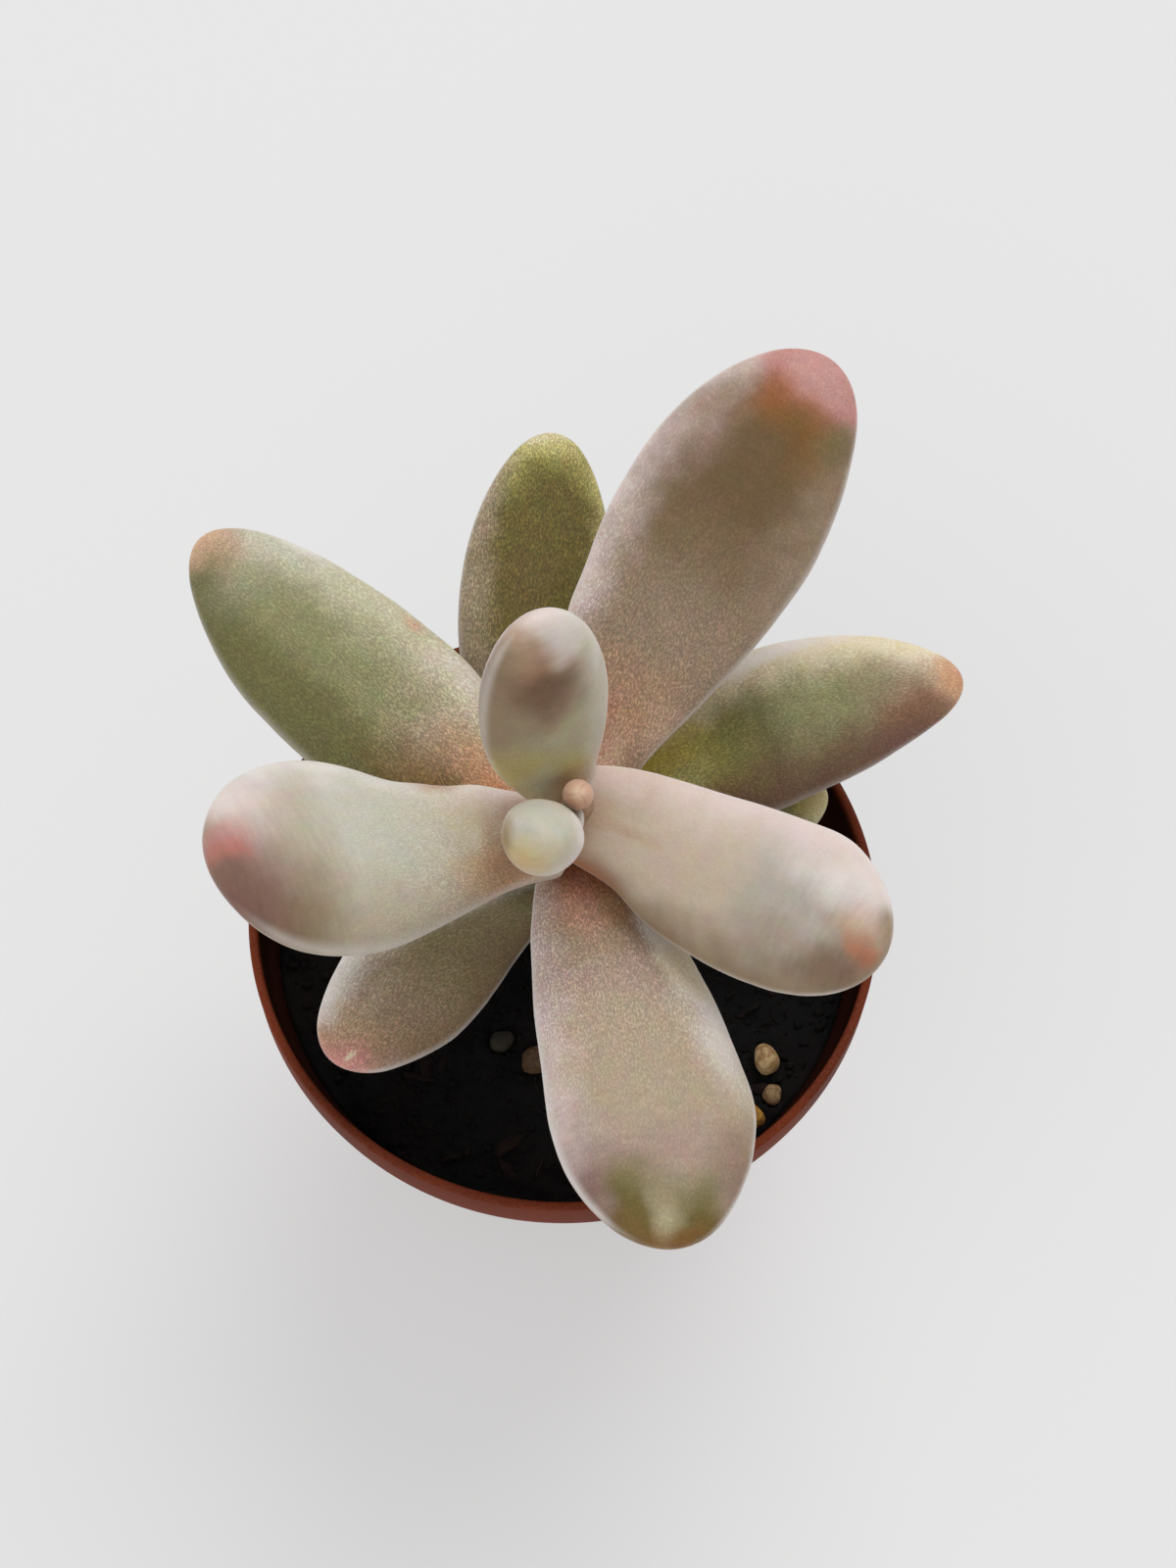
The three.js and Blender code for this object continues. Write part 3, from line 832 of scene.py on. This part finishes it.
def aim(azimuth, rise):
    level, up = polar(1, math.radians(rise))
    return Vector((*polar(level, math.radians(azimuth)), up))


def leafSpread(along, peak, neck, shape):
    if along < peak:
        return neck + (1 - neck) * math.sin(along / peak * math.pi / 2) ** shape["swell"]
    return math.sqrt(max(0.0, 1 - min(1.0, (along - peak) / (1 - peak)) ** shape["blunt"]))


def marginShift(edges, reach):
    return sum(by * math.exp(-(((reach - at) / long) ** 2)) for at, long, by in edges)


def slideOnto(node, points):  # the short way from the fine leaf to its solid in the frame
    low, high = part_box(node)
    mine = np.array(points)
    return (low + high) / 2 - (Vector(mine.min(0)) + Vector(mine.max(0))) / 2


def keepInside(point):  # holds a leaf's outermost points to the reach of the whole part
    return Vector([max(cadBox[0][axis], min(cadBox[1][axis], point[axis])) for axis in range(3)])


def makeLeaf(node, shape):
    shape = {**plainLeaf, **shape}
    rings, sides = (64, 64) if shape["length"] < 20 else (132, 104)
    outward = aim(shape["azimuth"], 0)
    start = stemMiddle(shape["height"]) + outward * stemGirth(shape["height"])
    first = aim(shape["azimuth"], shape["rise"]) * (shape["length"] / 2)
    second = aim(shape["azimuth"] + shape["sway"], shape["rise"] + shape["curl"]) * (shape["length"] / 2)
    knee, end = start + first, start + first + second
    level = Vector((-outward.y, outward.x, 0))
    points, places, turns, feet = [], [], [], []
    seed = Vector((shape["height"], shape["azimuth"], 0))
    for i in range(rings + 1):
        ball = -math.cos(math.pi * i / rings)
        along = (1 + ball) / 2
        spot = start * (1 - along) ** 2 + knee * 2 * along * (1 - along) + end * along ** 2
        tangent = ((knee - start) * (1 - along) + (end - knee) * along).normalized()
        side = (level - tangent * level.dot(tangent)).normalized()
        above = tangent.cross(side)
        roll = Matrix.Rotation(math.radians(shape["roll"]), 3, tangent)
        side, above = roll @ side, roll @ above
        cap = 1 if ball > 0 else min(1.0, math.sqrt(max(0.0, 1 - ball * ball)) * shape["square"])
        halfWidth = shape["width"] / 2 * leafSpread(along, shape["peak"], shape["neck"], shape) * cap
        deep = leafSpread(along, shape["peak"] - 0.05, min(1.0, shape["neck"] * 1.5), shape)
        halfDepth = shape["thickness"] / 2 * deep * cap
        reached = along * shape["length"]
        bulges = [marginShift(shape[edge], reached) * cap for edge in ("left", "right")]
        foot = outward * (max(0.0, 1 - along / shape["footShare"]) ** 2 * shape["foot"])
        for k in range(sides):
            across, high = polar(1, 2 * math.pi * k / sides)
            belly = shape["topFlat"] if high > 0 else shape["belly"]
            flat = Vector((reached, across * halfWidth, high * halfDepth * belly))
            swell = noise.noise(flat * 0.11 + seed) * 0.16 + noise.noise(flat * 0.35 + seed) * 0.04
            swell *= min(1.0, halfWidth / 4)
            reach = halfWidth + swell + bulges[across < 0] * abs(across)
            point = spot + side * (across * reach) + above * (high * (halfDepth * belly + swell))
            points.append(point * mm)
            feet.append(foot * mm)
            places.append(flat)
            turns.append((along, across, high))
    slide = slideOnto(node, points) + Vector(shape["nudge"]) * mm
    points = [keepInside(point + slide - foot) for point, foot in zip(points, feet)]
    piece = meshPiece(node.replace("leaf_", "leaf_blade_"), points, tubeFaces(rings + 1, sides))
    storeVectors(piece, "leafPlace", places)
    storeVectors(piece, "leafTurn", turns)
    weld(piece)
    return piece


# Paints of the leaves, 0 to 255, then each leaf's look: along its middle from the stem to the tip, its left
# and right margins as seen from the stem (paint, and where across the leaf it starts and is full), its
# underside, and soft spots (millimetres along, across and sometimes above, size, paint and strength).
leafPaints = {
    "white bloom": (244, 238, 234), "pink bloom": (230, 212, 206), "lilac bloom": (212, 194, 190),
    "cream": (230, 216, 184), "ivory": (212, 204, 186), "pale sage": (202, 196, 166),
    "sage white": (200, 197, 180), "buff": (201, 183, 163), "haze": (186, 176, 163),
    "stone": (182, 170, 148), "sage": (178, 172, 142), "straw": (190, 180, 118), "lime": (208, 190, 78),
    "leaf green": (148, 140, 74),
    "grey green": (142, 140, 98), "moss": (112, 108, 64), "olive": (106, 94, 42), "bronze": (128, 92, 42),
    "gold": (206, 172, 100), "drab": (148, 135, 102), "sand": (176, 158, 134), "clay": (160, 138, 115),
    "fawn": (147, 127, 102), "brown": (129, 106, 77), "umber": (114, 90, 58), "cocoa": (118, 89, 67),
    "tan": (186, 150, 119), "peach": (212, 174, 144), "pale peach": (228, 192, 168),
    "apricot": (200, 146, 104), "copper": (160, 106, 74), "rust": (176, 98, 58), "coral": (212, 112, 90),
    "rose": (200, 140, 132), "mauve": (168, 144, 130), "plum": (122, 86, 74),
}
plainLook = {  # what a leaf's skin has unless its look says otherwise
    "pole": 0.9, "drift": (9, 6, 4), "wander": 0.5, "underShare": 0.85, "tint": 0.13, "wrinkle": 0.2,
    "hue": 0.16, "fleck": 0.6, "roughness": 0.5,
}
leafLooks = {
    "leaf_01": {
        "along": [(0, "brown"), (0.35, "clay"), (0.5, "pale sage"), (0.7, "ivory"), (1, "sage white")],
        "left": ("white bloom", 0.2, 0.9), "right": ("sage", 0.2, 1.0), "under": "ivory", "underShare": 0.2,
        "spots": [
            ((6.8, 1.2), (3, 1.6), "brown", 0.5), ((7.6, 3.4), (3.4, 1.8), "white bloom", 0.8),
            ((13.4, 1.2, 0), (3, 3, 3), "cream", 0.6), ((13, 0, -3), (6, 5, 4), "gold", 0.7),
            ((12, -4, -2.6), (5, 3, 3.4), "bronze", 0.75), ((10, -3.4), (4.4, 3.4), "gold", 0.5),
        ],
        "powderAndRimHighlight": 0.3, "grain": (0.1, 0.05), "pole": 0.45,
    },
    "leaf_02": {
        "along": [(0, "apricot"), (0.1, "tan"), (0.2, "straw"), (0.34, "sage"), (0.5, "sage"),
                  (0.62, "clay"), (0.74, "fawn"), (0.86, "tan"), (0.94, "buff"), (1, "pink bloom")],
        "left": ("fawn", 0.1, 1.0), "right": ("ivory", 0.1, 0.9), "under": "lilac bloom",
        "spots": [
            ((7, 5), (8, 6), "straw", 0.85), ((7, -7), (5, 2.4), "apricot", 0.6),
            ((10, -4.6), (5, 2.6), "sage white", 0.7), ((23, 1.8), (7.4, 7), "cocoa", 0.95),
            ((28, -2.6), (4, 5), "white bloom", 0.5), ((27.6, 2.4), (4.6, 4), "tan", 0.5),
            ((25, -6.6), (6, 2.4), "white bloom", 0.4), ((5, 3.4), (6, 3.4), "sage white", 0.65),
        ],
        "powderAndRimHighlight": 0.4, "grain": (0.2, 0.05),
    },
    "leaf_03": {
        "along": [(0, "tan"), (0.1, "buff"), (0.5, "buff"), (0.66, "haze"), (0.8, "haze"), (0.9, "clay"),
                  (1, "clay")],
        "left": ("pink bloom", 0.2, 1.05), "right": ("fawn", 0.36, 1.06), "under": "clay",
        "spots": [
            ((1, -7), (9, 4), "copper", 1.0), ((4, 6), (8, 4), "tan", 0.3),
            ((6, 0.5), (7, 1.6), "tan", 0.4), ((31, -5), (11, 5), "clay", 0.5),
            ((37, -4.6), (7, 5), "cocoa", 0.7), ((38.6, 1.6), (5, 4), "pale peach", 0.5),
            ((39.4, -0.6), (3.6, 2.8), "rust", 0.65), ((34, 4.6), (9, 4), "white bloom", 0.5),
        ],
        "powderAndRimHighlight": 0.6, "grain": (0.12, 0.07),
    },
    "leaf_04": {
        "along": [(0, "apricot"), (0.13, "pale peach"), (0.26, "cream"), (0.4, "ivory"),
                  (0.52, "sage white"), (0.64, "sage white"), (0.76, "stone"), (0.88, "mauve"), (1, "clay")],
        "left": ("stone", 0.1, 1.0), "right": ("white bloom", 0.3, 1.3), "under": "stone",
        "spots": [
            ((8, 5), (9, 6), "tan", 1.0), ((14, 7), (6, 4), "apricot", 0.3),
            ((6, 0), (10, 8), "pink bloom", 0.25), ((11, -4), (8, 3), "pink bloom", 0.5),
            ((13, -8.6), (8, 3.6), "tan", 0.75), ((40, 9), (12, 9), "brown", 0.85),
            ((44, 5), (7, 8), "plum", 0.9), ((40, -5), (8, 6), "pink bloom", 0.4),
            ((42, -8.5), (8, 5), "pink bloom", 0.6), ((44.6, -2.4), (5.4, 5), "rose", 0.85),
            ((44.6, -1.2), (3.4, 2.6), "coral", 0.5), ((45, -1), (5, 4), "plum", 0.35),
            ((46, 1.6), (5, 4), "plum", 0.7),
        ],
        "powderAndRimHighlight": 0.4, "grain": (0.7, 0.08),
    },
    "leaf_05": {
        "along": [(0, "pale peach"), (0.1, "pale peach"), (0.24, "tan"), (0.39, "clay"), (0.48, "fawn"),
                  (0.56, "brown"), (0.68, "umber"), (0.78, "umber"), (0.86, "bronze"), (0.91, "copper"),
                  (0.95, "rose"), (1, "rose")],
        "left": ("pink bloom", 0.42, 1.15), "right": ("clay", 0.3, 1.1), "under": "mauve",
        "spots": [
            ((60, 2.6), (6, 4.5), "rust", 0.3), ((57, -4), (7, 6), "bronze", 0.35),
            ((60, -8), (6, 4), "olive", 0.55), ((66, 3), (5, 8), "rose", 0.8),
            ((67, 0), (4, 9), "lilac bloom", 0.2), ((64, 1), (4, 6), "copper", 0.25),
            ((54, 8), (14, 6.4), "mauve", 0.6), ((12, -7), (11, 4.4), "pale peach", 0.5),
            ((14, 2), (9, 4), "rose", 0.3),
        ],
        "powderAndRimHighlight": 0.7, "grain": (1.0, 0.3),
    },
    "leaf_06": {
        "along": [(0, "rust"), (0.07, "copper"), (0.14, "tan"), (0.26, "clay"), (0.36, "mauve"),
                  (0.5, "sand"), (0.68, "sand"), (0.8, "mauve"), (0.88, "drab"), (0.94, "olive"),
                  (1, "bronze")],
        "left": ("sand", 0.35, 1.0), "right": ("lilac bloom", 0.5, 1.2), "under": "buff",
        "spots": [
            # the cream and white bloom spots near the foot on the left, beside leaf_03, are partly the pale
            # margin and partly painted light that washes out the shadow leaf_03 casts there
            ((9, 2), (9, 4), "bronze", 0.3), ((16, 7), (9, 4), "cream", 0.85),
            ((20, 11), (22, 8), "white bloom", 0.85), ((17, 8), (10, 5.6), "cream", 1.0),
            ((13, 5.4), (7, 3.4), "white bloom", 0.7), ((49, 10), (11, 6.6), "plum", 0.65),
            ((50, -9.5), (10, 6), "plum", 0.8), ((52, 4.4), (4.6, 4), "olive", 0.4),
            ((50.5, -4), (6, 4.6), "olive", 0.6), ((53.6, -1), (4.4, 2.6), "cream", 0.4),
            ((8, -3), (8, 3), "rose", 0.4),
        ],
        "powderAndRimHighlight": 0.8, "grain": (1.0, 0.3),
    },
    "leaf_07": {
        "along": [(0, "coral"), (0.2, "apricot"), (0.29, "tan"), (0.37, "sand"), (0.48, "grey green"),
                  (0.72, "grey green"), (0.84, "grey green"), (0.93, "tan"), (1, "peach")],
        "left": ("moss", 0.1, 0.7), "right": ("pale sage", 0.0, 0.95), "under": "clay",
        "spots": [
            ((24, -9), (8, 5), "pink bloom", 0.4), ((20, 5), (11, 7), "bronze", 0.55),
            ((34, 7), (7, 4.5), "moss", 0.5), ((53, -8), (12, 7), "sage white", 0.7),
            ((53, -10.5), (10, 4), "white bloom", 0.6), ((54, 0), (8, 10), "sage white", 0.22),
            ((57, 2.4), (5, 4.6), "moss", 0.55), ((60.4, 0), (2.4, 4), "peach", 0.5),
            ((33.6, -11), (3, 1.6), "coral", 0.35),
        ],
        "powderAndRimHighlight": 0.3, "grain": (1.1, 0.6),
    },
    "leaf_08": {
        "along": [(0, "lime"), (0.26, "straw"), (0.38, "leaf green"), (0.5, "moss"), (0.58, "grey green"),
                  (0.7, "grey green"), (0.8, "drab"), (0.88, "clay"), (0.96, "peach"), (1, "peach")],
        "left": ("cream", 0.05, 0.9), "right": ("cocoa", 0.1, 1.0), "under": "umber",
        "spots": [
            ((15, 4), (12, 6), "lime", 0.95), ((20, 7), (12, 5), "cream", 0.9),
            ((24, 9), (13, 3.4), "white bloom", 0.7), ((53, -3.6), (8, 4.6), "copper", 0.6),
            ((51, -8), (10, 5), "plum", 0.9), ((54, -4), (9, 4), "cocoa", 0.65),
            ((58, 0.6), (3.4, 4), "apricot", 0.6), ((36, 9), (14, 3), "white bloom", 0.8),
        ],
        "powderAndRimHighlight": 0.3, "grain": (0.9, 0.6),
    },
    "leaf_09": {
        "along": [(0, "drab"), (0.2, "drab"), (0.5, "drab"), (0.75, "clay"), (0.88, "tan"), (1, "rose")],
        "left": ("brown", 0.1, 1.2), "right": ("white bloom", 0.15, 1.2), "under": "brown",
        "spots": [
            ((35, 1.8), (3, 3), "rose", 0.7), ((35.6, 0.8), (1.2, 0.8), "cream", 0.8),
            ((34, 5), (5, 3), "mauve", 0.5), ((30, -2), (6, 3), "stone", 0.5),
        ],
        "powderAndRimHighlight": 0.6, "grain": (0.75, 0.9),
    },
    "leaf_10": {
        "along": [(0, "brown"), (0.5, "olive"), (0.86, "olive"), (0.92, "leaf green"), (0.96, "straw"),
                  (1, "cream")],
        "left": ("sand", 0.5, 1.2), "right": ("straw", 0.5, 1.15), "under": "olive",
        "spots": [
            ((38, 2), (8, 6), "umber", 0.3), ((52, 4), (6, 4), "leaf green", 0.3),
            ((32, 9), (14, 4), "buff", 0.15),
        ],
        "powderAndRimHighlight": 0.4, "grain": (1.1, 1.2),
    },
    "leaf_11": {
        "along": [(0, "grey green"), (0.5, "moss"), (0.8, "grey green"), (1, "straw")],
        "left": ("sage", 0.2, 1.0), "right": ("sage", 0.2, 1.0), "under": "grey green",
        "spots": [((33.6, -1), (4, 6), "cream", 0.8), ((32, -2), (4, 4), "lime", 0.4)],
        "powderAndRimHighlight": 0.2, "grain": (0.5, 0.5),
    },
}


def leafFinish(name, look, length):
    look = {**plainLook, **look}
    paints = {paint: tone(*parts) for paint, parts in leafPaints.items()}
    finish = Finish(name)
    place = finish.stored("leafPlace")  # millimetres along, across and above, as if the leaf were straight
    share, side, high = finish.split(finish.stored("leafTurn"))
    pole = share.fall(look["pole"], 1.0)  # lets the sides run out before the tip, where they all meet
    side = side * pole
    drift = finish.shift(finish.cloud(place, 0.13, 2, 0.45, out=1), (-0.5, -0.5, -0.5))
    loose = finish.shift(place, finish.stretch(drift, look["drift"]))
    looseShare = finish.split(loose)[0] / length + side * side * 0.03
    soft = finish.cloud(place, 0.3, 4, 0.6)
    wander = (finish.cloud(place, 0.22, 1, 0.5) - 0.5) * look["wander"]
    colour = finish.ramp(looseShare, [(spot, paints[paint]) for spot, paint in look["along"]])
    for edge, (paint, start, full) in ((side, look["left"]), (side * -1, look["right"])):
        colour = finish.blend((edge + wander).rise(start, full), colour, paints[paint])
    for centre, size, paint, strength in look["spots"]:
        colour = finish.blend(finish.spot(loose, centre, size) * strength, colour, paints[paint])
    under = (high * pole + wander * 0.5).fall(-0.8, 0.05)
    colour = finish.blend(under * look["underShare"], colour, paints[look["under"]])
    tint = finish.cloud(finish.stretch(place, (0.7, 1, 1)), 0.45, 3, 0.6, out=1)
    fleck = finish.cloud(finish.stretch(place, (0.4, 1, 1)), 5.6, 1, 0.5)
    hue = finish.cloud(finish.stretch(place, (0.4, 1, 1)), 3.4, 2, 0.5, out=1)
    wrinkle = finish.cloud(finish.stretch(place, (1.5, 0.3, 0.6)), 1.0, 4, 0.6)
    atFoot, atTip = look["grain"]
    grain = share.rise(0.2, 0.8) * (atTip - atFoot) + atFoot
    colour = finish.blend(look["tint"], colour, tint, "OVERLAY")
    colour = finish.blend(share.rise(0.4, 0.9) * look["wrinkle"], colour, wrinkle, "OVERLAY")
    colour = finish.blend(grain * look["hue"], colour, hue, "OVERLAY")
    sharp = ((fleck - 0.5) * 2.4 + 0.5).most(0.32)
    colour = finish.blend(grain * look["fleck"], colour, sharp, "OVERLAY")
    # where the skin turns away at the margins it is painted towards white bloom: partly the real powder,
    # partly a painted highlight for the bright rim at grazing angles
    rimPowderAndHighlight = high.size().fall(0.0, 0.36) * (soft * 0.6 + 0.5) * pole
    colour = finish.blend(rimPowderAndHighlight * look["powderAndRimHighlight"], colour, paints["white bloom"])
    roughness = look["roughness"] + soft * 0.16 + fleck * 0.08
    normal = finish.bump(soft, 0.0006, 0.5)
    normal = finish.bump(wrinkle, 0.0001, 0.5, normal)
    normal = finish.bump(fleck * grain, 0.00008, 0.8, normal)
    return finish.close(colour, roughness, normal, **fleshy)


lowLeaves = [leaf for leaf in leafBook.values() if leaf["height"] < stem["padsBelow"]]
pads = [(leaf["azimuth"], leaf["height"], *stem["pad"]) for leaf in lowLeaves]
(azimuth, height), (turn, drop) = stem["scarFrom"], stem["scarStep"]
pads += [(azimuth - turn * i, height - drop * i, *stem["scar"]) for i in range(stem["scars"])]
dress(makeStem(pads), stemFinish(), "stem", "stem")
dress(makeBud(), budFinish(), "pale_leaf", "growing_tip")
print("stem and growing tip done")

for node, leaf in leafBook.items():
    piece = makeLeaf(node, leaf)
    skin = leafFinish(node.replace("_", " ") + " skin", leafLooks[node], leaf["length"])
    dress(piece, skin, leaf["slot"], node)
print("leaves done")
